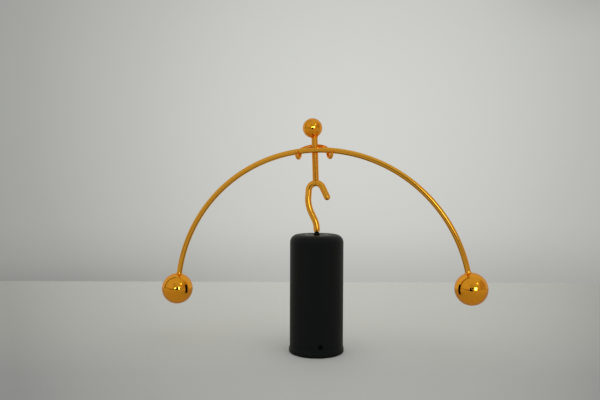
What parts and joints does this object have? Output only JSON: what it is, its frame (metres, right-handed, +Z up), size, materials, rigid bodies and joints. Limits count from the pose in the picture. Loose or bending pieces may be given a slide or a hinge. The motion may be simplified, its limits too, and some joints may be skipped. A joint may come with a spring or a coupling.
{
  "type": "balance figurine",
  "caption": "Stick man on one leg on a black cylinder, holding a long curved bar with a ball on each end, that sways, nods, turns and stays balanced.",
  "frame": {"origin": "centre of the underside, on the base's axis, on the table", "axes": "+Z up, +X along the balance bar to the figure's right in the view from the front, -Y towards the front, where the bar lies in front of the body"},
  "size_m": [0.2213, 0.037, 0.1575],
  "materials": {
    "gold_plate": "polished",
    "black_shell": "satin",
    "black_cover": "satin",
    "black_metal": "satin",
    "black_polished": "gloss",
    "screw_steel": "satin",
    "ballast_iron": "matte",
    "pad_rubber": "matte"
  },
  "bodies": {
    "base": {"base_shell": "black_shell", "bottom_cover": "black_cover", "locking_screw": "screw_steel", "foot_pad": "pad_rubber", "ballast": "ballast_iron"},
    "cup": {"pivot_cup": "black_metal"},
    "pivot": {"pivot_ball": "black_polished"},
    "figure": {"leg_rod": "gold_plate", "torso_rod": "gold_plate", "head_ball": "gold_plate", "arm_wire": "gold_plate"},
    "bar": {"balance_bar": "gold_plate", "left_ball": "gold_plate", "right_ball": "gold_plate"}
  },
  "joints": [
    {"name": "figure_spin", "type": "hinge", "parent": "base", "child": "cup", "pos_m": [0, 0, 0.0792], "axis": [0, 0, 1], "continuous": true},
    {"name": "figure_sway", "type": "hinge", "parent": "cup", "child": "pivot", "pos_m": [0, 0, 0.0792], "axis": [0, 1, 0], "range_deg": [-14, 14]},
    {"name": "figure_nod", "type": "hinge", "parent": "pivot", "child": "figure", "pos_m": [0, 0, 0.0792], "axis": [1, 0, 0], "range_deg": [-15, 15]},
    {"name": "bar_trim", "type": "hinge", "parent": "figure", "child": "bar", "pos_m": [0.00124, -0.00057, 0.03622], "axis": [0, 1, 0], "range_deg": [-4, 4]}
  ]
}
